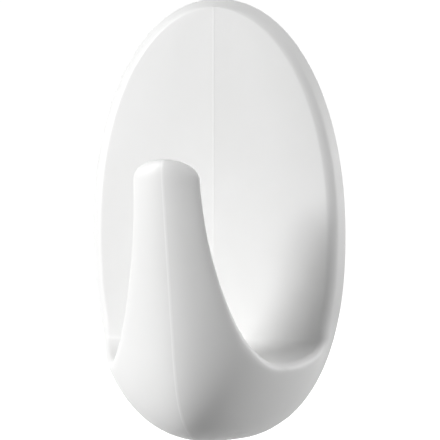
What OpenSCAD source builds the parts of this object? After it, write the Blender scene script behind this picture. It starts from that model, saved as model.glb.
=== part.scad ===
// Adhesive wall hook: a moulded cover with an upright prong, which hangs on a flat
// base plate that a stretch-release strip holds to the wall.
// The wall is the plane y = 0, the room is on the -y side and z points up. The origin
// is the middle of the strip's face on the wall. Depths are distances from the wall.

/* [Cover outline] */
// Width of the oval cover
cover_w = 40; // [37:0.5:46]
// Height of the cover's top above the middle of the strip
cover_top = 30; // [28:0.1:34]
// Distance of the cover's bottom below the middle of the strip
cover_bottom = 35.5; // [34:0.1:40]
// Distance of the cover's widest line below the middle of the strip
widest_drop = 4.7; // [2:0.1:8]
// Fullness of the upper half of the oval, where 2 is an ellipse
top_fullness = 2.1; // [1.9:0.02:2.6]
// Fullness of the lower half of the oval, where 2 is an ellipse
bottom_fullness = 2.33; // [2:0.02:3]
// Gap between the cover's back edge and the wall
rim_gap = 1; // [0.7:0.05:1.2]
// Inward slope of the cover's top edge, per unit of depth
top_draft = 0.5; // [0:0.01:0.7]
// Distance by which the sides lean in from the wall to the front face, at the widest line
rim_taper = 1.2; // [0.5:0.05:1.6]
// Thickness of the cover's rim at the wall
rim_t = 2.4; // [1.8:0.1:3]
// Thickness of the cover's front skin
skin_t = 1.2; // [1:0.1:1.6]
// Radius of the edge around the front face
face_round = 1; // [0.4:0.05:1.2]

/* [Prong] */
// Reach of the prong's tip from the wall
hook_depth = 25.8; // [22:0.1:30]
// Height of the root from the cover's bottom to the bottom of the well
root_h = 12.2; // [9:0.1:14]
// Height of the prong above the bottom of the well
prong_h = 30.5; // [24:0.1:36]
// Outward lean of the prong's front, in degrees
prong_lean = 10.2; // [4:0.1:14]
// Height above the cover's bottom at which the front starts to curve under
knee_h = 16.8; // [14:0.2:22]
// Squareness of the curve under the root
knee_fullness = 3.7; // [2.5:0.1:4.5]
// Thickness of the prong at its tip
tip_t = 2.2; // [1.8:0.1:4]
// Height of the rounded end of the prong
tip_round = 3; // [2:0.1:4]
// Width that the rounding of the prong's inner edges takes on each side
prong_round = 2.8; // [1:0.1:3]
// Depth of that rounding, as a share of the prong's thickness
edge_share = 0.5; // [0.3:0.05:0.5]
// Depth from the front face to the lowest line of the well
well_w = 7.5; // [6:0.1:9]
// Radius of the well's edges at its lowest line
well_round = 1.8; // [1:0.1:2.4]
// Height above the well over which its edges take on the rounding of the prong's edges
blend_h = 13; // [8:0.5:16]
// Height over which the front face curves into the well
well_h = 3.2; // [2:0.1:6]
// Fullness of the prong's inner curve, where 2 is an ellipse
inner_fullness = 1.42; // [1.2:0.02:2]
// Bulge of the flanks: the exponent of the depth in their cross section, where 1 is straight
flank_bulge = 1.85; // [1.5:0.05:2.5]
// Sharpness of the ridge: the exponent with which the flanks close there, where 0.5 is round
flank_power = 0.56; // [0.5:0.01:0.8]
// Narrowing of the prong from the well to its tip, as a share of its width
waist = 0.06; // [0:0.01:0.3]
// Width of the flat mould seam along the ridge
seam_w = 0.5; // [0.3:0.05:0.8]

/* [Root core] */
// Width of the hollow core that keeps the root's walls even
core_w = 12; // [8:0.5:13]
// Wall above the core, under the well, and wall below the core
core_wall = 2.3; // [1.6:0.1:2.8]
// Depth of the core from the wall
core_depth = 8; // [5:0.5:9]
// Corner radius of the core
core_round = 1.5; // [0.5:0.1:1.8]

/* [Strip] */
// Width of the adhesive strip
strip_w = 20; // [18:0.5:21]
// Height of the bonded part of the strip
strip_h = 40; // [36:0.5:42]
// Thickness of each adhesive layer
adhesive_t = 0.1; // [0.05:0.01:0.15]
// Thickness of the foam core
foam_t = 0.5; // [0.4:0.05:0.7]
// Thickness of each cover film on the pull tab
film_t = 0.08; // [0.05:0.01:0.09]
// Corner radius of the strip and of its pull tab
strip_round = 4; // [1:0.5:6]
// Free room between the end of the pull tab and the cover's rim
tab_room = 3.4; // [2:0.1:6]
// Angle through which the pull tab flexes away from the wall, in degrees
tab_flex = 4; // [2:0.5:6]

/* [Base plate] */
// Margin of the plate around the strip, at the sides and the top
plate_margin = 0.5; // [0.3:0.1:1.5]
// Thickness of the plate
plate_t = 1.1; // [0.95:0.05:1.4]
// Reach of the side lugs beyond the plate
lug_w = 1.5; // [1:0.1:2]
// Height of a side lug
lug_h = 7; // [5:0.5:7.5]
// Thickness of a side lug
lug_t = 0.6; // [0.4:0.05:0.7]
// Height of the upper lugs' middle above the middle of the strip
lug_z = 9.5; // [7:0.5:10]
// Distance between the middles of the upper and lower lugs
lug_pitch = 18; // [17.5:0.5:22]
// Width of the snap tongue on the plate's top
tongue_w = 8; // [5:0.5:10]
// Thickness of the snap tongue
tongue_t = 0.9; // [0.6:0.05:0.95]
// Room between the top of the snap tongue and the cover's rim
tongue_room = 1; // [0.6:0.1:2]
// Radius of the bump on the snap tongue
bump_r = 0.55; // [0.4:0.05:0.6]

/* [Slide fit] */
// Gap between the plate's front and the inside of the cover
cover_gap = 0.3; // [0.2:0.05:0.5]
// Sideways gap between the plate and the cover's keepers
side_gap = 0.25; // [0.15:0.05:0.4]
// Gap between a lug and the lip behind it
lip_gap = 0.15; // [0.1:0.01:0.25]
// Thickness of a keeper's lip
lip_t = 0.5; // [0.4:0.05:0.6]
// Thickness of a keeper's side wall
keeper_t = 1.1; // [0.8:0.1:1.4]
// Thickness of the stop that rests on a lug
stop_t = 1.2; // [0.8:0.1:1.6]
// Extra travel of the cover after its lips have cleared the lugs
slide_spare = 1.5; // [0.5:0.1:2]
// Gap between the snap bump and the inside of the cover, and at its ends
snap_gap = 0.1; // [0.05:0.01:0.2]
// Gap between the flexed pull tab and the relief in the cover's bottom rim
relief_gap = 0.15; // [0.1:0.01:0.3]
// Sideways run-out of the relief's ends
relief_splay = 3; // [1:0.5:4]

/* [Hidden] */
$fn = 48;

// Depths of the layers, from the wall outwards
foam_back = adhesive_t;
foam_front = foam_back + foam_t;
plate_back = foam_front + adhesive_t;
plate_front = plate_back + plate_t;
inside = plate_front + cover_gap;
face = inside + skin_t;

// Depths of the cover's own surface are measured from its back edge
face_n = face - rim_gap;
tip_n = hook_depth - rim_gap;
widest_z = -widest_drop;
well_n = face_n + well_w;
well_z = root_h - cover_bottom;
tip_z = well_z + prong_h;
knee_z = knee_h - cover_bottom;
inner_tip_n = tip_n - tip_t;
well_start_z = well_z + well_h;

// Travel of the cover, and the places of the lugs that hold it
slide = lug_h + slide_spare;
plate_w = strip_w + 2 * plate_margin;
plate_top = strip_h / 2 + plate_margin;
plate_bottom = -strip_h / 2;
lug_back = plate_front - lug_t;
lip_front = lug_back - lip_gap;
lip_back = lip_front - lip_t;
lug_middles = [lug_z, lug_z - lug_pitch];

// Snap tongue, which ends below the inside of the cover's rim
tongue_top = cover_top - rim_t - tongue_room;
bump_z = tongue_top - 3 * bump_r;

// Pull tab, and the relief that the cover needs to slide up over it
tab_end = rim_t + tab_room - cover_bottom;
film_front = foam_front + film_t;
film_back = foam_back - film_t;
relief_n = film_front + (plate_bottom - tab_end) * sin(tab_flex) + relief_gap;

// Depth by which cuts and joined walls run past a face
past = 0.2;

// Numbers of steps along the oval and along the stretches of the cover's surface
outline_points = 72;
top_steps = 16;
middle_steps = 5;
well_steps = 10;
root_steps = 14;
prong_steps = 10;
tip_steps = 7;

// Angle swept by the rounded end of the prong, short of 90 so that its end keeps a width
tip_sweep = 84;

// Least depth of the ridge, where the root closes at the cover's bottom
least_depth = 0.001;

// Share of the half width that a superellipse leaves at the ratio r of its height
function oval(r, fullness) = pow(1 - pow(min(1, r), fullness), 1 / fullness);

// Half height of the oval above or below its widest line, at a depth n behind its face
function half_h(up, n) = up ? cover_top - widest_z - top_draft * n : widest_z + cover_bottom;

// Half width of the oval outline at a height z and a depth n
function outline(z, n) =
    let (up = z > widest_z)
    cover_w / 2 * oval(abs(z - widest_z) / half_h(up, n), up ? top_fullness : bottom_fullness);

// Share of the half width that the rim's taper takes at the front face
rim_share = rim_taper / (cover_w / 2);

// Smooth fade from 1 to 0 as t goes from 0 to 1
function fade(t) = 1 - t * t * (3 - 2 * t);

// Taper share below the widest line, which fades out close to the well
function low_taper(z) = rim_share * fade(max(0, 1 - (z - well_z) / (2 * well_h)));

// Depth of the ridge along the front of the prong and the root
function ridge(z) =
    let (u = max(0, (knee_z - z) / knee_h))
    (tip_n - tan(prong_lean) * max(0, tip_z - z)) * oval(u, knee_fullness);

// Depth of the prong's inner face
function inner(z) =
    well_n + (inner_tip_n - well_n) * sqrt(1 - pow(min(1, (tip_z - z) / prong_h), inner_fullness));

// Loss of width at a distance d from an edge that is rounded over a width and a depth
function rounding(d, wide, deep) = d < deep ? wide - wide * sqrt(1 - pow(1 - d / deep, 2)) : 0;

// Half width of the cover at a point p = [n, z], where the front lies no further out than limit
function flank(p, limit) =
    let (r = max(min(ridge(p[1]), limit), least_depth))
    outline(p[1], p[0]) * pow(1 - pow(min(1, p[0] / r), flank_bulge), flank_power);

// Share of the prong's width that its waist leaves at a height z
function waist_share(z) = 1 - waist * (1 - fade(min(1, max(0, (z - well_z) / prong_h))));

// A row crosses the cover's thickness in its middle plane, from the front face or the well to
// the back edge or the ridge: [inner point, outer point, width and depth of the rounded edge,
// share of the half width that the taper takes at the inner point, limit of the front, share of
// the half width that the waist and the rounded tip leave]
function face_row(a, b, r, taper) = [a, b, r, r, taper, tip_n, 1];
function prong_row(a, b) =
    let (t = fade(min(1, (a[1] - well_z) / blend_h)), deep = edge_share * norm(b - a))
    [a, b, prong_round + (well_round - prong_round) * t, deep + (well_round - deep) * t,
        0, tip_n, waist_share(a[1])];
top_rows = [for (i = [0:top_steps])
    let (s = sin(90 - 90 * i / top_steps))
    face_row([face_n, widest_z + s * half_h(true, face_n)], [0, widest_z + s * half_h(true, 0)],
        face_round, rim_share)];
middle_rows = [for (i = [1:middle_steps])
    let (z = widest_z + (well_start_z - widest_z) * i / middle_steps)
    face_row([face_n, z], [0, z], face_round, low_taper(z))];
well_angle = asin((widest_z - well_start_z) / half_h(false, 0));
well_rows = [for (i = [1:well_steps])
    let (t = i / well_steps, a = 90 * t, b = well_angle + (90 - well_angle) * t,
        z = well_start_z - well_h * sin(a))
    face_row([well_n - well_w * cos(a), z],
        [0, widest_z - half_h(false, 0) * sin(b)],
        well_round + (face_round - well_round) * fade(t), low_taper(z))];
root_rows = [for (i = [1:root_steps])
    let (t = i / root_steps, u = pow(cos(90 * t), 2 / knee_fullness),
        z = well_z + (knee_z - well_z) * t * t)
    prong_row([inner(z), z], [ridge(knee_z - knee_h * u), knee_z - knee_h * u])];
tip_start_z = tip_z - tip_round;
prong_rows = [for (i = [1:prong_steps])
    let (z = knee_z + (tip_start_z - knee_z) * i / prong_steps)
    prong_row([inner(z), z], [ridge(z), z])];
tip_rows = [for (i = [1:tip_steps])
    let (a = tip_sweep * i / tip_steps, z = tip_start_z + tip_round * sin(a),
        middle = (ridge(z) + inner(z)) / 2, half = (ridge(z) - inner(z)) / 2 * cos(a))
    [[middle - half, z], [middle + half, z], min(prong_round, half), 2 * edge_share * half, 0, middle + half,
        waist_share(z) * pow(cos(a), 1 - flank_power)]];
rows = concat(top_rows, middle_rows, well_rows, root_rows, prong_rows, tip_rows);

// Distances across a row: over the rounded edge first, then in steps that shorten towards the
// outer point, where the flanks close quickly
edge_steps = 3;
flat_steps = 9;
last = edge_steps + flat_steps;
function distance_at(k, deep, length) = k <= edge_steps
    ? deep * (1 - cos(90 * k / edge_steps))
    : length - (length - deep) * pow((last - k) / flat_steps, 2);
function row_points(w) =
    let (length = norm(w[1] - w[0]), wide = min(w[2], length / 2), deep = min(w[3], length / 2))
    [for (k = [0:last])
        let (d = distance_at(k, deep, length), p = w[0] + (w[1] - w[0]) * d / length,
            x = w[6] * (1 - w[4] * p[0] / w[0][0]) * flank(p, w[5]) - rounding(d, wide, deep))
        [max(seam_w / 2, x), -p[0] - rim_gap, p[1]]];

// Solid of the cover before it is hollowed: a right and a left flank over the same rows,
// joined by a strip along the face, the well, the ridge and the back edge
module cover_body() {
    right = [for (w = rows) each row_points(w)];
    left = [for (p = right) [-p[0], p[1], p[2]]];
    m = last + 1;
    n = len(right);
    end = len(rows) - 1;
    function at(i, k) = i * m + k;
    flank_faces = [for (i = [0:end - 1], k = [0:last - 1])
        each [[at(i, k), at(i + 1, k + 1), at(i + 1, k)], [at(i, k), at(i, k + 1), at(i + 1, k + 1)]]];
    edge = concat(
        [for (i = [0:end]) at(i, 0)],
        [for (k = [1:last]) at(end, k)],
        [for (i = [end - 1:-1:0]) at(i, last)],
        [for (k = [last - 1:-1:1]) at(0, k)]);
    strip_faces = [for (j = [0:len(edge) - 1])
        let (a = edge[j], b = edge[(j + 1) % len(edge)])
        each [[a, b, a + n], [b, b + n, a + n]]];
    polyhedron(
        concat(right, left),
        concat(flank_faces, [for (f = flank_faces) [f[2] + n, f[1] + n, f[0] + n]], strip_faces));
}

// A flat shape, drawn in x and z, that fills the depths from n0 to n1
module layer(n0, n1) {
    translate([0, -n0, 0]) rotate([90, 0, 0]) linear_extrude(n1 - n0) children();
}

// A rectangle between two heights, with some corners rounded
module rounded(w, z0, z1, top_r, bottom_r) {
    for (end = [[z1, -1, top_r], [z0, 1, bottom_r]], side = [-1, 1])
        translate([side * (w / 2 - end[2]), end[0] + end[1] * end[2]]) circle(end[2]);
    translate([-w / 2, z0 + bottom_r]) square([w, z1 - z0 - top_r - bottom_r]);
    translate([-w / 2 + top_r, (z0 + z1) / 2]) square([w - 2 * top_r, (z1 - z0) / 2]);
    translate([-w / 2 + bottom_r, z0]) square([w - 2 * bottom_r, (z1 - z0) / 2]);
}

// The cover's outline at the wall, inside its rim
module pocket_outline() {
    half = cover_w / 2 - rim_t;
    polygon([for (i = [0:outline_points - 1])
        let (a = 360 * i / outline_points, s = sin(a), up = s > 0,
            fullness = up ? top_fullness : bottom_fullness)
        [half * sign(cos(a)) * oval(abs(s), fullness), widest_z + s * (half_h(up, 0) - rim_t)]]);
}

// One keeper: a side wall with a lip behind the lug and a stop that rests on the lug's top
module keeper(middle) {
    x0 = plate_w / 2 + side_gap;
    x1 = plate_w / 2 + lug_w + side_gap;
    bottom = middle - lug_h / 2;
    layer(lip_back, inside + past) translate([x1, bottom]) square([keeper_t, lug_h + stop_t]);
    layer(lip_back, lip_front) translate([x0, bottom]) square([x1 - x0 + past, lug_h + stop_t]);
    layer(lip_back, inside + past) translate([x0, bottom + lug_h]) square([x1 - x0 + past, stop_t]);
}

module keepers() {
    for (middle = lug_middles, side = [0, 1]) mirror([side, 0, 0]) keeper(middle);
}

// Blind core in the back of the root
module root_core() {
    layer(0, core_depth)
        rounded(core_w, core_wall - cover_bottom, well_z - core_wall, core_round, core_round);
}

// Relief in the bottom rim, through which the cover slides up over the pull tab
module tab_relief() {
    half = strip_w / 2 + relief_gap;
    translate([0, 0, -cover_bottom - past]) linear_extrude(cover_bottom + plate_bottom)
        polygon([[-half - relief_splay, 0], [-half, -relief_n], [half, -relief_n], [half + relief_splay, 0]]);
}

// Bar across the snap tongue whose front lies at a depth n
module snap_bar(r, n, w) {
    translate([-w / 2, r - n, bump_z]) rotate([0, 90, 0]) cylinder(r = r, h = w);
}

module hook_shell() {
    color("white") difference() {
        union() {
            difference() {
                cover_body();
                layer(0, inside) pocket_outline();
                root_core();
            }
            intersection() {
                keepers();
                layer(0, inside + past) pocket_outline();
            }
        }
        tab_relief();
        snap_bar(bump_r + cover_gap, inside + cover_gap, tongue_w + 2 * snap_gap);
    }
}

module base_plate() {
    color("gainsboro") {
        layer(plate_back, plate_front)
            rounded(plate_w, plate_bottom, plate_top, strip_round + plate_margin, plate_margin);
        for (middle = lug_middles)
            layer(lug_back, plate_front) translate([-plate_w / 2 - lug_w, middle - lug_h / 2])
                square([plate_w + 2 * lug_w, lug_h]);
        layer(plate_front - tongue_t, plate_front)
            translate([-tongue_w / 2, 0]) square([tongue_w, tongue_top]);
        snap_bar(bump_r, inside - snap_gap, tongue_w);
    }
}

// The strip's outline with its pull tab, and its two stretches above and below the flex line
module strip_outline() {
    rounded(strip_w, tab_end, strip_h / 2, strip_round, strip_round);
}

module bonded_face() {
    intersection() {
        strip_outline();
        translate([-strip_w / 2, plate_bottom]) square([strip_w, strip_h]);
    }
}

module tab_face() {
    intersection() {
        strip_outline();
        translate([-strip_w / 2, tab_end]) square([strip_w, plate_bottom - tab_end]);
    }
}

module foam_core() {
    color("ivory") layer(foam_back, foam_front) bonded_face();
}

module plate_side_adhesive() {
    color("khaki") layer(foam_front, plate_back) bonded_face();
}

module wall_side_adhesive() {
    color("khaki") layer(0, foam_back) bonded_face();
}

module tab_core() {
    color("ivory") layer(foam_back, foam_front) tab_face();
}

module tab_film_front() {
    color("lightsteelblue") layer(foam_front, film_front) tab_face();
}

module tab_film_rear() {
    color("lightsteelblue") layer(film_back, foam_back) tab_face();
}

hook_shell();
base_plate();
foam_core();
plate_side_adhesive();
wall_side_adhesive();
tab_core();
tab_film_front();
tab_film_rear();
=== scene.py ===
import math

import bmesh
import bpy
from mathutils import Matrix, Vector


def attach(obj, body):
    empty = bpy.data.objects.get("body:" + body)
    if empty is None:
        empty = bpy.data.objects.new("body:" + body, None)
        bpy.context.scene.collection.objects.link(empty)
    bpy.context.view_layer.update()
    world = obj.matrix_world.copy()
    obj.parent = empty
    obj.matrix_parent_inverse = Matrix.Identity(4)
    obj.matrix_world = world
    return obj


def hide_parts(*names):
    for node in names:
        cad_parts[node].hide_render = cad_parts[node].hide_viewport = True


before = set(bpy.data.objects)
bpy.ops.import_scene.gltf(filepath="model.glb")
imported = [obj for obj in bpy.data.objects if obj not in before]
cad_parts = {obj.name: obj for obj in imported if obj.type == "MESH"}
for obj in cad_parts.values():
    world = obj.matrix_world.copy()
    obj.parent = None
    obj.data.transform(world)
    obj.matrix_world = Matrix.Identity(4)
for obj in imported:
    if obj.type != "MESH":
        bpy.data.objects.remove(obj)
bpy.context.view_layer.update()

# Sizes in millimetres and degrees, the same as in the part's source. Depths are distances from
# the wall, and the cover's own depths n are measured from its back edge.
MM = 0.001
COVER_W, COVER_TOP, COVER_BOTTOM = 40.0, 30.0, 35.5
WIDEST_Z = -4.7
TOP_FULLNESS, BOTTOM_FULLNESS = 2.1, 2.33
RIM_GAP, TOP_DRAFT, RIM_TAPER, RIM_T = 1.0, 0.5, 1.2, 2.4
FACE_ROUND, PRONG_ROUND, EDGE_SHARE = 1.0, 2.8, 0.5
WELL_ROUND, BLEND_H = 1.8, 13.0
HOOK_DEPTH, ROOT_H, PRONG_H, PRONG_LEAN = 25.8, 12.2, 30.5, 10.2
KNEE_H, KNEE_FULLNESS, TIP_T, TIP_ROUND = 16.8, 3.7, 2.2, 3.0
WELL_W, WELL_H, INNER_FULLNESS = 7.5, 3.2, 1.42
FLANK_BULGE, FLANK_POWER, WAIST, SEAM_W = 1.85, 0.56, 0.06, 0.5
CORE_W, CORE_WALL, CORE_DEPTH, CORE_ROUND = 12.0, 2.3, 8.0, 1.5
INSIDE, FACE = 2.1, 3.3
PLATE_W, PLATE_BOTTOM, STRIP_W = 21.0, -20.0, 20.0
LUG_W, LUG_H, LUG_MIDDLES = 1.5, 7.0, (9.5, -8.5)
LIP_BACK, LIP_FRONT, SIDE_GAP, KEEPER_T, STOP_T = 0.55, 1.05, 0.25, 1.1, 1.2
BUMP_Z, BUMP_R, COVER_GAP, TONGUE_W, SNAP_GAP = 24.95, 0.55, 0.3, 8.0, 0.1
RELIEF_N, RELIEF_GAP, RELIEF_SPLAY = 1.5067, 0.15, 3.0
PAST = 0.2

FACE_N = FACE - RIM_GAP
TIP_N = HOOK_DEPTH - RIM_GAP
WELL_N = FACE_N + WELL_W
WELL_Z = ROOT_H - COVER_BOTTOM
TIP_Z = WELL_Z + PRONG_H
KNEE_Z = KNEE_H - COVER_BOTTOM
INNER_TIP_N = TIP_N - TIP_T
WELL_START_Z = WELL_Z + WELL_H
TIP_START_Z = TIP_Z - TIP_ROUND
RIM_SHARE = RIM_TAPER / (COVER_W / 2)

# Fine forms that only the scene has: the rounded back edge, the raised mould seam and the bevels
BACK_ROUND = 0.15
SEAM_RISE, SEAM_FROM_BACK, ON_FACE = 0.02, 0.5, 0.01
KEEPER_BEVEL, PLATE_BEVEL, PLATE_BEVEL_STEPS = 0.1, 0.12, 3

# Places of the points across half the seam, as shares of its half width. Where the cover is about
# as narrow as the seam, NARROW_COLUMNS spreads them over the whole half width.
SEAM_COLUMNS = (0.8, 0.5, 0.2, 0.0)
NARROW_COLUMNS = (1, 0.95, 0.9, 0.75, 0.5, 0.25, 0)
NARROW_LIMIT = 1.02

# Sections of the two hollows from the wall inwards: growth of the outline, depth
POCKET_SECTIONS = (
    (0.3, RIM_GAP - 0.3), (0.2, RIM_GAP), (0.06, RIM_GAP + 0.1), (0, RIM_GAP + 0.25),
    (0, INSIDE - 0.6), (-0.04, INSIDE - 0.35), (-0.16, INSIDE - 0.14), (-0.34, INSIDE - 0.04),
    (-0.6, INSIDE),
)
CORE_SECTIONS = (
    (0.1, 0.3), (0.1, INSIDE + 0.02), (0, INSIDE + 0.2), (0, CORE_DEPTH - 0.8),
    (-0.12, CORE_DEPTH - 0.35), (-0.4, CORE_DEPTH - 0.08), (-0.8, CORE_DEPTH),
)
LEAST_RADIUS = 0.05

# Numbers of steps along the stretches of the cover, over a rounded edge and across a flank, around
# the pocket and a corner of the core, and degrees for each step around the dimple and the floor
TOP, MIDDLE, WELL, ROOT, PRONG, TIP = 64, 12, 40, 52, 36, 20
EDGE, FLAT = 8, 28
POCKET_STEPS, CORNER_STEPS = 192, 8
DIMPLE_DEGREES, FLOOR_DEGREES = 15, 5

# The rounding of the prong's tip ends a little before a quarter turn, and a small flat closes it
TIP_TURN = 84
BEVEL_ANGLE, SHARP_ANGLE = 30, 32
LEAST_RIDGE = 0.001


def sin(a):
    return math.sin(math.radians(a))


def cos(a):
    return math.cos(math.radians(a))


def clamp(t):
    return min(1.0, max(0.0, t))


def fade(t):
    """From 1 to 0 as t goes from 0 to 1, with level ends."""
    return 1 - t * t * (3 - 2 * t)


def oval(r, fullness):
    return (1 - clamp(r) ** fullness) ** (1 / fullness)


def half_h(up, n):
    return COVER_TOP - WIDEST_Z - TOP_DRAFT * n if up else WIDEST_Z + COVER_BOTTOM


def outline(z, n):
    """Half width of the cover's outline."""
    up = z > WIDEST_Z
    fullness = TOP_FULLNESS if up else BOTTOM_FULLNESS
    return COVER_W / 2 * oval(abs(z - WIDEST_Z) / half_h(up, n), fullness)


def ridge(z):
    """Depth of the front line of the root and prong."""
    u = max(0.0, (KNEE_Z - z) / KNEE_H)
    lean = math.tan(math.radians(PRONG_LEAN)) * max(0.0, TIP_Z - z)
    return (TIP_N - lean) * oval(u, KNEE_FULLNESS)


def inner(z):
    """Depth of the prong's side that looks at the wall."""
    rise = max(0.0, 1 - ((TIP_Z - z) / PRONG_H) ** INNER_FULLNESS)
    return WELL_N + (INNER_TIP_N - WELL_N) * math.sqrt(rise)


def rounding(d, wide, deep):
    """Width that a rounded edge takes off at the distance d from the edge."""
    return wide - wide * math.sqrt(max(0.0, 1 - (1 - d / deep) ** 2)) if d < deep else 0.0


def flank(n, z, limit):
    """Half width at a depth, closing towards the ridge."""
    r = max(min(ridge(z), limit), LEAST_RIDGE)
    return outline(z, n) * (1 - clamp(n / r) ** FLANK_BULGE) ** FLANK_POWER


def waist(z):
    return 1 - WAIST * (1 - fade(clamp((z - WELL_Z) / PRONG_H)))


def low_taper(z):
    """Taper share of the rim, which is lost towards the well."""
    return RIM_SHARE * fade(max(0.0, 1 - (z - WELL_Z) / (2 * WELL_H)))


def prong_row(a, b):
    left = fade(min(1.0, (a[1] - WELL_Z) / BLEND_H))
    deep = EDGE_SHARE * math.hypot(b[0] - a[0], b[1] - a[1])
    return (a, b, PRONG_ROUND + (WELL_ROUND - PRONG_ROUND) * left,
            deep + (WELL_ROUND - deep) * left, 0, TIP_N, waist(a[1]), 0)


def cover_rows():
    """Rows across the cover in its middle plane, from the top of the face over the well to the
    prong's tip. Each has an inner point, an outer point, the width and depth of the rounded edge,
    the taper share, the limit of the front, the share of the width that the waist and the rounded
    tip leave, and the radius of the back edge."""
    rows = []
    for i in range(TOP + 1):
        s = sin(90 - 90 * i / TOP)
        rows.append(((FACE_N, WIDEST_Z + s * half_h(True, FACE_N)),
                     (0, WIDEST_Z + s * half_h(True, 0)),
                     FACE_ROUND, FACE_ROUND, RIM_SHARE, TIP_N, 1, BACK_ROUND))
    for i in range(1, MIDDLE + 1):
        z = WIDEST_Z + (WELL_START_Z - WIDEST_Z) * i / MIDDLE
        rows.append(((FACE_N, z), (0, z),
                     FACE_ROUND, FACE_ROUND, low_taper(z), TIP_N, 1, BACK_ROUND))
    start = math.degrees(math.asin((WIDEST_Z - WELL_START_Z) / half_h(False, 0)))
    for i in range(1, WELL + 1):
        t = i / WELL
        turn = start + (90 - start) * t
        edge = WELL_ROUND + (FACE_ROUND - WELL_ROUND) * fade(t)
        z = WELL_START_Z - WELL_H * sin(90 * t)
        rows.append(((WELL_N - WELL_W * cos(90 * t), z),
                     (0, WIDEST_Z - half_h(False, 0) * sin(turn)),
                     edge, edge, low_taper(z), TIP_N, 1, BACK_ROUND))
    for i in range(1, ROOT + 1):
        t = i / ROOT
        u = max(0.0, cos(90 * t)) ** (2 / KNEE_FULLNESS)
        z = WELL_Z + (KNEE_Z - WELL_Z) * t * t
        foot = KNEE_Z - KNEE_H * u
        rows.append(prong_row((inner(z), z), (ridge(foot), foot)))
    for i in range(1, PRONG + 1):
        z = KNEE_Z + (TIP_START_Z - KNEE_Z) * i / PRONG
        rows.append(prong_row((inner(z), z), (ridge(z), z)))
    for i in range(1, TIP + 1):
        a = TIP_TURN * i / TIP
        z = TIP_START_Z + TIP_ROUND * sin(a)
        middle = (ridge(z) + inner(z)) / 2
        half = (ridge(z) - inner(z)) / 2 * cos(a)
        rows.append(((middle - half, z), (middle + half, z),
                     min(PRONG_ROUND, half), 2 * EDGE_SHARE * half, 0, middle + half,
                     waist(z) * cos(a) ** (1 - FLANK_POWER), 0))
    return rows


def row_points(row):
    """Points (x, n, z) along one flank, from the row's inner point to its outer point."""
    (n0, z0), (n1, z1), wide, deep, share, limit, left, back = row
    length = math.hypot(n1 - n0, z1 - z0)
    wide, deep = min(wide, length / 2), min(deep, length / 2)
    points = []
    for k in range(EDGE + FLAT + 1):
        if k <= EDGE:
            d = deep * (1 - cos(90 * k / EDGE))
        else:
            d = length - (length - deep) * ((EDGE + FLAT - k) / FLAT) ** 2
        n = n0 + (n1 - n0) * d / length
        z = z0 + (z1 - z0) * d / length
        x = left * (1 - share * n / n0) * flank(n, z, limit) - rounding(d, wide, deep)
        if back:
            x -= rounding(length - d, back, back)
        points.append((math.hypot(SEAM_W / 2, max(0.0, x)), n, z))
    return points


def mesh_object(name, verts, faces):
    mesh = bpy.data.meshes.new(name)
    mesh.from_pydata(verts, [], faces)
    mesh.update()
    obj = bpy.data.objects.new(name, mesh)
    bpy.context.scene.collection.objects.link(obj)
    return obj


def to_frame(x, depth, z):
    return (x * MM, -depth * MM, z * MM)


def seam_side(point, before, after, rise):
    """Points from a flank's border to the middle of the seam, the border itself left out. The
    seam rises at a right angle to the line from the point before to the point after."""
    x, n, z = point
    half = SEAM_W / 2
    dn, dz = after[1] - before[1], after[2] - before[2]
    step = math.hypot(dn, dz) or 1.0
    columns = [(x + half) / 2, half] + [share * half for share in SEAM_COLUMNS]
    if x < NARROW_LIMIT * half:
        columns = [x * share for share in NARROW_COLUMNS[1:]]
    side = []
    for c in columns:
        h = rise * fade(min(1.0, c / half))
        side.append((c, n - h * dz / step, z + h * dn / step))
    return side


def cover_body():
    """The cover before it is hollowed: two flanks joined by a strip that carries the mould seam."""
    grid = [row_points(row) for row in cover_rows()]
    rows, m = len(grid), EDGE + FLAT + 1
    end, last = rows - 1, m - 1
    verts = [to_frame(x, n + RIM_GAP, z) for row in grid for x, n, z in row]
    verts += [(-x, y, z) for x, y, z in verts]
    count = rows * m

    def at(i, k):
        return i * m + k

    faces = []
    for i in range(end):
        for k in range(last):
            quad = (at(i, k), at(i, k + 1), at(i + 1, k + 1), at(i + 1, k))
            faces.append(quad[::-1])
            faces.append(tuple(v + count for v in quad))

    # The border of a flank, once around
    border = [(i, 0) for i in range(rows)] + [(end, k) for k in range(1, m)]
    border += [(i, last) for i in range(end - 1, -1, -1)]
    border += [(0, k) for k in range(last - 1, 0, -1)]
    flat = [grid[i][k] for i, k in border]
    size = len(border)
    strips = []
    for j, (i, k) in enumerate(border):
        n = flat[j][1]
        raised = n > FACE_N - ON_FACE or (k == last and n > SEAM_FROM_BACK)
        rise = SEAM_RISE if raised else 0.0
        side = seam_side(flat[j], flat[j - 1], flat[(j + 1) % size], rise)
        line = [at(i, k)]
        for c, cn, cz in side:
            line.append(len(verts))
            verts.append(to_frame(c, cn + RIM_GAP, cz))
        for c, cn, cz in side[-2::-1]:
            line.append(len(verts))
            verts.append(to_frame(-c, cn + RIM_GAP, cz))
        line.append(at(i, k) + count)
        strips.append(line)
    for j in range(size):
        a, b = strips[j], strips[(j + 1) % size]
        for c in range(len(a) - 1):
            faces.append((a[c], a[c + 1], b[c + 1], b[c]))
    return mesh_object("cover_body", verts, faces)


def outward(obj):
    bm = bmesh.new()
    bm.from_mesh(obj.data)
    bmesh.ops.recalc_face_normals(bm, faces=bm.faces)
    bm.to_mesh(obj.data)
    bm.free()


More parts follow.
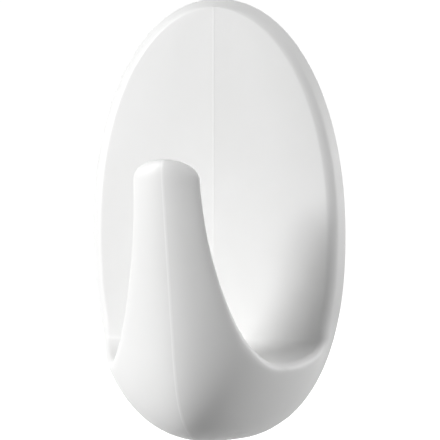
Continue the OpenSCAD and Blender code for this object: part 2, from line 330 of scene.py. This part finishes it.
def loft(name, loops):
    """A closed solid through loops of equal length, capped at both ends."""
    size = len(loops[0])
    verts = [p for loop in loops for p in loop]
    faces = [tuple(range(size))[::-1], tuple(range((len(loops) - 1) * size, len(loops) * size))]
    for i in range(len(loops) - 1):
        for j in range(size):
            k = (j + 1) % size
            faces.append((i * size + j, i * size + k, (i + 1) * size + k, (i + 1) * size + j))
    obj = mesh_object(name, verts, faces)
    outward(obj)
    return obj


def pocket():
    """Hollow behind the face, with a broken edge at the wall and a fillet along its floor."""
    loops = []
    for grow, depth in POCKET_SECTIONS:
        half = COVER_W / 2 - RIM_T + grow
        loop = []
        for i in range(POCKET_STEPS):
            a = 360 * i / POCKET_STEPS
            s, c = sin(a), cos(a)
            up = s > 0
            x = half * math.copysign(oval(abs(s), TOP_FULLNESS if up else BOTTOM_FULLNESS), c)
            loop.append(to_frame(x, depth, WIDEST_Z + s * (half_h(up, 0) - RIM_T + grow)))
        loops.append(loop)
    return loft("pocket", loops)


def rounded_loop(w, z0, z1, r, depth, grow):
    """A rectangle with rounded corners at a depth."""
    loop = []
    r = max(LEAST_RADIUS, r + grow)
    for sx, sz, turn in ((1, 1, 0), (-1, 1, 90), (-1, -1, 180), (1, -1, 270)):
        cx = sx * (w / 2 + grow - r)
        cz = (z1 + grow - r) if sz > 0 else (z0 - grow + r)
        for i in range(CORNER_STEPS + 1):
            a = turn + 90 * i / CORNER_STEPS
            loop.append(to_frame(cx + r * cos(a), depth, cz + r * sin(a)))
    return loop


def root_core():
    """Blind hollow in the root, with a rounded floor."""
    z0, z1 = CORE_WALL - COVER_BOTTOM, WELL_Z - CORE_WALL
    loops = [rounded_loop(CORE_W, z0, z1, CORE_ROUND, d, grow) for grow, d in CORE_SECTIONS]
    return loft("root_core", loops)


def box(x0, x1, d0, d1, z0, z1):
    verts = [to_frame(x, d, z) for z in (z0, z1) for d in (d0, d1) for x in (x0, x1)]
    faces = [(0, 1, 3, 2), (4, 6, 7, 5), (0, 4, 5, 1), (2, 3, 7, 6), (0, 2, 6, 4), (1, 5, 7, 3)]
    obj = mesh_object("block", verts, faces)
    outward(obj)
    return obj


def apply_modifiers(obj):
    graph = bpy.context.evaluated_depsgraph_get()
    made = bpy.data.meshes.new_from_object(obj.evaluated_get(graph))
    old = obj.data
    obj.modifiers.clear()
    obj.data = made
    bpy.data.meshes.remove(old)


def combine(obj, other, how):
    mod = obj.modifiers.new(how, "BOOLEAN")
    mod.operation = how
    mod.solver = "EXACT"
    mod.object = other
    apply_modifiers(obj)
    bpy.data.objects.remove(other)


def bevel(obj, width, segments=2):
    mod = obj.modifiers.new("bevel", "BEVEL")
    mod.width = width * MM
    mod.segments = segments
    mod.limit_method = "ANGLE"
    mod.angle_limit = math.radians(BEVEL_ANGLE)
    return mod


def keeper(middle, side):
    """Side wall with a lip behind the plate's lug and a stop above it."""
    x0 = PLATE_W / 2 + SIDE_GAP
    x1 = PLATE_W / 2 + LUG_W + SIDE_GAP
    low = middle - LUG_H / 2
    top = low + LUG_H + STOP_T
    reach = INSIDE + 2 * PAST
    wall = box(x1, x1 + KEEPER_T, LIP_BACK, reach, low, top)
    combine(wall, box(x0, x1 + PAST, LIP_BACK, LIP_FRONT, low, top), "UNION")
    combine(wall, box(x0, x1 + PAST, LIP_BACK, reach, low + LUG_H, top), "UNION")
    bevel(wall, KEEPER_BEVEL)
    apply_modifiers(wall)
    if side < 0:
        wall.data.transform(Matrix.Scale(-1, 4, (1, 0, 0)))
        wall.data.flip_normals()
    return wall


def tab_relief():
    """Cut in the bottom rim that leaves room for the pull tab."""
    half = STRIP_W / 2 + RELIEF_GAP
    splay = half + RELIEF_SPLAY
    section = ((-splay, 0), (-half, RELIEF_N), (half, RELIEF_N), (splay, 0))
    ends = (-COVER_BOTTOM - PAST, PLATE_BOTTOM - PAST)
    return loft("tab_relief", [[to_frame(x, d, z) for x, d in section] for z in ends])


def snap_dimple():
    """Groove inside the cover for the bump of the snap tongue."""
    r, w = BUMP_R + COVER_GAP, TONGUE_W + 2 * SNAP_GAP
    ring = [(INSIDE + COVER_GAP - r + r * cos(a), BUMP_Z + r * sin(a))
            for a in range(0, 360, DIMPLE_DEGREES)]
    return loft("snap_dimple", [[to_frame(x, d, z) for d, z in ring] for x in (-w / 2, w / 2)])


shell = cover_body()
combine(shell, pocket(), "DIFFERENCE")
combine(shell, root_core(), "DIFFERENCE")
for middle in LUG_MIDDLES:
    for side in (1, -1):
        combine(shell, keeper(middle, side), "UNION")
combine(shell, tab_relief(), "DIFFERENCE")
combine(shell, snap_dimple(), "DIFFERENCE")
shell.name = "moulded_cover"
shell.data.name = "moulded_cover"
shell.data.shade_smooth()
shell.data.set_sharp_from_angle(angle=math.radians(SHARP_ANGLE))
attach(shell, "hook")
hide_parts("hook_shell")


class Nodes:
    """Short calls for a material's node tree."""

    def __init__(self, name):
        self.material = bpy.data.materials.new(name)
        self.material.use_nodes = True
        self.tree = self.material.node_tree
        self.shader = self.tree.nodes["Principled BSDF"]
        self.place = self.add("ShaderNodeTexCoord").outputs["Object"]

    def put(self, socket, value):
        if isinstance(value, bpy.types.NodeSocket):
            self.tree.links.new(value, socket)
        else:
            socket.default_value = value

    def add(self, kind, **inputs):
        node = self.tree.nodes.new(kind)
        for key, value in inputs.items():
            self.put(node.inputs[key.replace("_", " ")], value)
        return node

    def set(self, **inputs):
        for key, value in inputs.items():
            self.put(self.shader.inputs[key.replace("_", " ")], value)

    def math(self, how, a, b=0.0, c=0.0):
        node = self.tree.nodes.new("ShaderNodeMath")
        node.operation = how
        for socket, value in zip(node.inputs, (a, b, c)):
            self.put(socket, value)
        return node.outputs[0]

    def ramp(self, value, low, high, out_low=0.0, out_high=1.0):
        node = self.tree.nodes.new("ShaderNodeMapRange")
        node.interpolation_type = "SMOOTHSTEP"
        for key, v in (("Value", value), ("From Min", low), ("From Max", high),
                       ("To Min", out_low), ("To Max", out_high)):
            self.put(node.inputs[key], v)
        return node.outputs[0]

    def noise(self, scale, detail=2.0, rough=0.5):
        node = self.add("ShaderNodeTexNoise", Vector=self.place, Scale=scale, Detail=detail,
                        Roughness=rough)
        return node.outputs[0]

    def mix(self, factor, a, b):
        """Colour mix. The Mix node's sockets for colours are inputs 6 and 7 and output 2."""
        node = self.tree.nodes.new("ShaderNodeMix")
        node.data_type = "RGBA"
        self.put(node.inputs[0], factor)
        self.put(node.inputs[6], a)
        self.put(node.inputs[7], b)
        return node.outputs[2]

    def bump(self, height, strength, distance):
        node = self.add("ShaderNodeBump", Strength=strength, Distance=distance, Height=height)
        self.put(self.shader.inputs["Normal"], node.outputs[0])

    def axes(self):
        return self.add("ShaderNodeSeparateXYZ", Vector=self.place).outputs


def cover_plastic():
    """Satin white with a faint cloud and grain. The mould seam on the front of the prong carries a
    painted highlight: it is coloured a little lighter, where its raised line catches the light."""
    m = Nodes("satin_white_plastic")
    x, y, z = m.axes()
    colour = m.mix(m.ramp(m.noise(90.0, 3.0), 0.3, 0.7),
                   (0.868, 0.868, 0.862, 1), (0.882, 0.882, 0.878, 1))
    # Painted highlight: these masks pick out the seam on the front of the prong, and its colour is
    # made lighter there
    on_seam = m.ramp(m.math("ABSOLUTE", x), 0.00016, 0.0003, 1, 0)
    at_front = m.ramp(y, -0.0042, -0.0040, 1, 0)
    on_prong = m.ramp(y, -0.0080, -0.0060, 1, 0)
    above_prong = m.ramp(z, 0.0075, 0.0150)
    line = m.math("MULTIPLY", m.math("MULTIPLY", on_seam, at_front),
                  m.math("MAXIMUM", on_prong, above_prong))
    m.set(Base_Color=m.mix(line, colour, (0.93, 0.93, 0.925, 1)))
    m.set(Roughness=m.ramp(m.noise(400.0, 2.0), 0.2, 0.8, 0.36, 0.46))
    m.bump(m.noise(5200.0, 2.0), 0.12, 0.00004)
    m.set(IOR=1.5, Specular_IOR_Level=0.3)
    return m.material


def plate_plastic():
    m = Nodes("plain_white_plastic")
    m.set(Base_Color=m.mix(m.ramp(m.noise(140.0, 3.0), 0.3, 0.7),
                           (0.80, 0.80, 0.79, 1), (0.84, 0.84, 0.83, 1)))
    m.set(Roughness=m.ramp(m.noise(700.0, 2.0), 0.2, 0.8, 0.48, 0.60))
    m.bump(m.noise(3800.0, 3.0), 0.25, 0.00005)
    return m.material


def foam():
    m = Nodes("closed_cell_foam")
    cells = m.add("ShaderNodeTexVoronoi", Vector=m.place, Scale=5200.0).outputs["Distance"]
    m.set(Base_Color=m.mix(m.ramp(cells, 0.0, 0.8), (0.80, 0.78, 0.72, 1), (0.90, 0.89, 0.85, 1)))
    m.set(Roughness=m.ramp(cells, 0.0, 0.8, 0.95, 0.8))
    m.bump(cells, 0.6, 0.00006)
    return m.material


def adhesive():
    m = Nodes("tacky_adhesive")
    ripple = m.noise(600.0, 4.0, 0.6)
    m.set(Base_Color=m.mix(m.ramp(ripple, 0.3, 0.7), (0.80, 0.77, 0.67, 1), (0.88, 0.86, 0.78, 1)))
    m.set(Roughness=m.ramp(m.noise(1500.0, 3.0), 0.25, 0.75, 0.18, 0.38))
    m.bump(ripple, 0.3, 0.00005)
    return m.material


def film():
    """Film embossed with two crossing sets of slanted waves."""
    m = Nodes("embossed_film")
    x, _, z = m.axes()
    waves = []
    for sign in (1, -1):
        slant = m.math("MULTIPLY_ADD", z, sign, x)
        waves.append(m.math("ABSOLUTE", m.math("SINE", m.math("MULTIPLY", slant, 4200.0))))
    emboss = m.math("MULTIPLY", waves[0], waves[1])
    m.set(Base_Color=m.mix(emboss, (0.78, 0.81, 0.84, 1), (0.86, 0.88, 0.90, 1)))
    m.set(Roughness=m.ramp(emboss, 0.0, 1.0, 0.50, 0.32))
    m.bump(emboss, 0.5, 0.00004)
    return m.material


def dress(obj, material):
    obj.data.materials.clear()
    obj.data.materials.append(material)


dress(shell, cover_plastic())
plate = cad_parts["base_plate"]
dress(plate, plate_plastic())
bevel(plate, PLATE_BEVEL, PLATE_BEVEL_STEPS).harden_normals = True
for material, names in ((foam(), ("foam_core", "tab_core")),
                        (adhesive(), ("plate_side_adhesive", "wall_side_adhesive")),
                        (film(), ("tab_film_front", "tab_film_rear"))):
    for name in names:
        dress(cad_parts[name], material)

# Camera: from the viewer's right and slightly above, far away with a long lens. The aim is a point
# on the back of the cover, moved in the picture's plane by AIM_RIGHT and AIM_UP millimetres.
AZIMUTH, ELEVATION, DISTANCE = 20.0, 3.0, 2.0
PICTURE_PIXELS, PIXELS_PER_MM = 440, 6.74
AIM_Z, AIM_RIGHT, AIM_UP = -0.0031, 0.141, 0.223
SENSOR_MM = 36
CLIP_NEAR, CLIP_FAR = 0.05, 10


def place_camera():
    back = Vector((sin(AZIMUTH) * cos(ELEVATION), -cos(AZIMUTH) * cos(ELEVATION), sin(ELEVATION)))
    right = Vector((cos(AZIMUTH), sin(AZIMUTH), 0))
    up = back.cross(right)
    aim = Vector((0, -RIM_GAP * MM, AIM_Z)) + (right * AIM_RIGHT + up * AIM_UP) * MM
    data = bpy.data.cameras.new("camera")
    data.sensor_width = SENSOR_MM
    data.lens = SENSOR_MM * DISTANCE / (PICTURE_PIXELS / PIXELS_PER_MM * MM)
    data.clip_start, data.clip_end = CLIP_NEAR, CLIP_FAR
    camera = bpy.data.objects.new("camera", data)
    bpy.context.scene.collection.objects.link(camera)
    camera.location = aim + back * DISTANCE
    camera.rotation_mode = "QUATERNION"
    camera.rotation_quaternion = (-back).to_track_quat("-Z", "Y")
    bpy.context.scene.camera = camera


place_camera()

# Lamps: name, direction from the object, diameter in metres, power. All stand at LAMP_DISTANCE.
LAMP_DISTANCE = 0.6
LAMP_AIM = (0, -0.01, -0.003)
LAMPS = (
    ("key", (-0.657, -0.68, 0.326), 0.15, 2.15),
    ("key_low", (-0.808, -0.587, 0.052), 0.15, 1.45),
    ("front_fill", (0.759, -0.637, 0.139), 0.3, 0.38),
    ("top_fill", (0.423, 0.0, 0.906), 0.3, 0.65),
    ("edge_fill", (0.942, 0.306, 0.139), 0.3, 1.75),
    ("back_fill", (0.0, 0.906, 0.423), 0.4, 2.0),
)

# Strength and colour of the surroundings as light, the floor's brightness as light, its place, and
# the glow by which it turns from a pale grey near the object into white further out
AMBIENT, AMBIENT_COLOUR = 0.06, (0.97, 0.985, 1, 1)
WHITE = (1, 1, 1, 1)
FLOOR_COLOUR, FLOOR_BOUNCE = (0.86, 0.86, 0.85, 1), 0.25
FLOOR_Z, FLOOR_RADIUS = -0.055, 3.0
GLOW_FROM, GLOW_TO, GLOW_LOW, GLOW_HIGH = 0.05, 0.4, 0.45, 1.0


def area_light(name, direction, size, power):
    data = bpy.data.lights.new(name, "AREA")
    data.shape = "DISK"
    data.size = size
    data.energy = power
    obj = bpy.data.objects.new(name, data)
    bpy.context.scene.collection.objects.link(obj)
    toward = Vector(direction).normalized()
    obj.location = Vector(LAMP_AIM) + toward * LAMP_DISTANCE
    obj.rotation_mode = "QUATERNION"
    obj.rotation_quaternion = toward.to_track_quat("Z", "Y")


def seen_directly(tree):
    """1 for camera rays and for reflections, 0 for the rays that light the object."""
    rays = tree.nodes.new("ShaderNodeLightPath").outputs
    seen = rays["Is Camera Ray"]
    for kind in ("Is Glossy Ray", "Is Transmission Ray"):
        either = tree.nodes.new("ShaderNodeMath")
        either.operation = "MAXIMUM"
        tree.links.new(seen, either.inputs[0])
        tree.links.new(rays[kind], either.inputs[1])
        seen = either.outputs[0]
    return seen


def studio_world():
    """White where it is seen, dim as a light."""
    world = bpy.data.worlds.new("studio")
    world.use_nodes = True
    tree = world.node_tree
    tree.nodes.clear()
    mixed = tree.nodes.new("ShaderNodeMixShader")
    tree.links.new(seen_directly(tree), mixed.inputs[0])
    for socket, colour, strength in ((1, AMBIENT_COLOUR, AMBIENT), (2, WHITE, 1.0)):
        shade = tree.nodes.new("ShaderNodeBackground")
        shade.inputs["Color"].default_value = colour
        shade.inputs["Strength"].default_value = strength
        tree.links.new(shade.outputs[0], mixed.inputs[socket])
    tree.links.new(mixed.outputs[0], tree.nodes.new("ShaderNodeOutputWorld").inputs[0])
    bpy.context.scene.world = world


def floor_material():
    """Pale matt floor that keeps the object's shadow and fades into the white background."""
    m = Nodes("pale_floor")
    tree = m.tree
    tree.nodes.remove(m.shader)
    matt = m.add("ShaderNodeBsdfDiffuse", Color=FLOOR_COLOUR)
    dim = m.add("ShaderNodeBsdfDiffuse", Color=(FLOOR_BOUNCE, FLOOR_BOUNCE, FLOOR_BOUNCE, 1))
    reach = m.add("ShaderNodeVectorMath", Vector=m.place)
    reach.operation = "LENGTH"
    strength = m.ramp(reach.outputs["Value"], GLOW_FROM, GLOW_TO, GLOW_LOW, GLOW_HIGH)
    glow = m.add("ShaderNodeEmission", Color=WHITE, Strength=strength)
    both = tree.nodes.new("ShaderNodeAddShader")
    tree.links.new(matt.outputs[0], both.inputs[0])
    tree.links.new(glow.outputs[0], both.inputs[1])
    mixed = tree.nodes.new("ShaderNodeMixShader")
    tree.links.new(seen_directly(tree), mixed.inputs[0])
    tree.links.new(dim.outputs[0], mixed.inputs[1])
    tree.links.new(both.outputs[0], mixed.inputs[2])
    tree.links.new(mixed.outputs[0], tree.nodes["Material Output"].inputs[0])
    return m.material


def floor():
    ring = [(FLOOR_RADIUS * cos(a), FLOOR_RADIUS * sin(a), 0.0)
            for a in range(0, 360, FLOOR_DEGREES)]
    obj = mesh_object("floor", ring, [tuple(range(len(ring)))])
    obj.location.z = FLOOR_Z
    obj.data.materials.append(floor_material())


for lamp in LAMPS:
    area_light(*lamp)
studio_world()
floor()

bpy.context.scene.view_settings.view_transform = "Standard"
